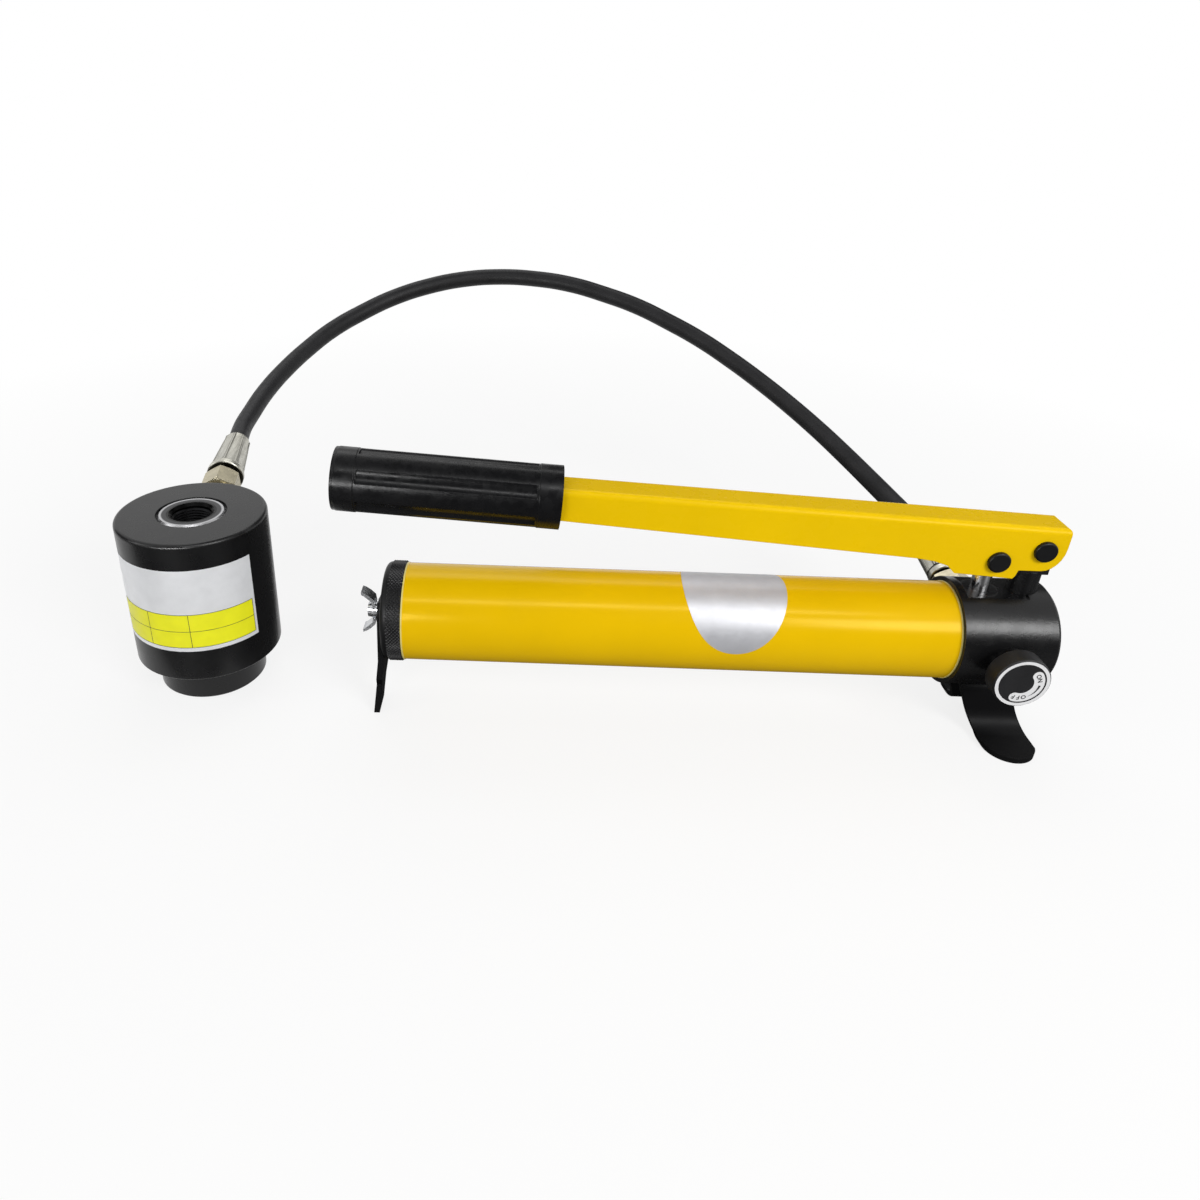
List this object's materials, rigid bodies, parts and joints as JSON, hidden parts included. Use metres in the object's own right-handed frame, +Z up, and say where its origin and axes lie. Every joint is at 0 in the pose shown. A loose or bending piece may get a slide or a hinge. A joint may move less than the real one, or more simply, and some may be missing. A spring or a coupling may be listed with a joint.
{
  "type": "hydraulic hole punch",
  "caption": "Hydraulic hole punch: a yellow lever hand pump on black feet, an arched black hose and a black punch cylinder with a hollow ram.",
  "frame": {"origin": "centre of the punch cylinder's base, on the floor that the whole tool stands on", "axes": "+X along the pump from its end cap to its head, +Y away from the release knob's side, +Z up along the ram"},
  "size_m": [0.4785, 0.369, 0.1685],
  "materials": {
    "yellow_paint": "gloss enamel",
    "black_paint": "satin black",
    "chrome": "ground and plated",
    "zinc_steel": "bright zinc",
    "nickel": "satin nickel",
    "dark_steel": "oiled",
    "bearing_steel": "polished",
    "black_rubber": "smooth matt",
    "black_plastic": "moulded gloss",
    "brass": "turned"
  },
  "bodies": {
    "base": {"cylinder_body": "black_paint", "cylinder_rear_cap": "black_paint", "rod_seal": "black_rubber", "dust_wiper": "black_rubber", "return_spring": "dark_steel", "inlet_adapter": "nickel", "hose_nut_punch": "nickel", "hose_ferrule_punch": "zinc_steel", "hose": "black_rubber", "hose_ferrule_pump": "zinc_steel", "hose_nut_pump": "nickel", "outlet_adapter": "nickel", "reservoir_tube": "yellow_paint", "end_cap": "black_paint", "end_cap_o_ring": "black_rubber", "pump_head": "black_paint", "head_o_ring": "black_rubber", "front_foot": "black_paint", "foot_screws": "zinc_steel", "fulcrum_post": "black_paint", "plunger_gland": "black_paint", "plunger_seal": "black_rubber", "suction_filter": "brass", "suction_pipe": "dark_steel", "suction_seat": "brass", "suction_spring": "dark_steel", "delivery_spring": "dark_steel", "release_gland": "black_paint", "relief_ball": "bearing_steel", "relief_spring": "dark_steel", "relief_screw": "dark_steel"},
    "lever": {"lever": "yellow_paint", "grip": "black_plastic", "fulcrum_pin": "black_paint", "plunger_pin": "black_paint", "pin_clips": "dark_steel"},
    "plunger": {"plunger": "chrome"},
    "release_valve": {"release_knob": "black_paint", "release_stem": "dark_steel", "stem_o_ring": "black_rubber", "knob_set_screw": "dark_steel"},
    "ram": {"ram": "chrome", "piston_seal": "black_rubber"},
    "wing_screw": {"wing_screw": "zinc_steel", "wing_washer": "zinc_steel"},
    "rear_foot": {"rear_foot": "black_paint"},
    "suction_ball": {"suction_ball": "bearing_steel"},
    "delivery_ball": {"delivery_ball": "bearing_steel"}
  },
  "joints": [
    {"name": "lever_hinge", "type": "hinge", "parent": "base", "child": "lever", "pos_m": [0.4243, -0.019, 0.1073], "axis": [0, 1, 0], "range_deg": [0, 45]},
    {"name": "plunger_slide", "type": "slide", "parent": "base", "child": "plunger", "axis": [0, 0, 1], "range_m": [0, 0.0167]},
    {"name": "release_knob_turn", "type": "hinge", "parent": "base", "child": "release_valve", "pos_m": [0.4132, -0.05, 0.0524], "axis": [0, -1, 0], "range_deg": [0, 110]},
    {"name": "ram_stroke", "type": "slide", "parent": "base", "child": "ram", "axis": [0, 0, -1], "range_m": [0, 0.025], "stiffness_N_per_m": 2000, "springref_m": -0.015, "deforming": ["return_spring"]},
    {"name": "wing_screw_turn", "type": "hinge", "parent": "base", "child": "wing_screw", "pos_m": [0.098, -0.019, 0.055], "axis": [1, 0, 0], "continuous": true},
    {"name": "rear_foot_swing", "type": "hinge", "parent": "base", "child": "rear_foot", "pos_m": [0.101, -0.019, 0.055], "axis": [1, 0, 0], "range_deg": [-90, 90]},
    {"name": "suction_ball_lift", "type": "slide", "parent": "base", "child": "suction_ball", "axis": [1, 0, 0], "range_m": [0, 0.001], "stiffness_N_per_m": 50, "deforming": ["suction_spring"]},
    {"name": "delivery_ball_lift", "type": "slide", "parent": "base", "child": "delivery_ball", "axis": [0, 0.9848, 0.1736], "range_m": [0, 0.001], "stiffness_N_per_m": 50, "deforming": ["delivery_spring"]}
  ],
  "couplings": [
    {"joint": "plunger_slide", "follows": "lever_hinge", "m_per_rad": 0.0211}
  ]
}
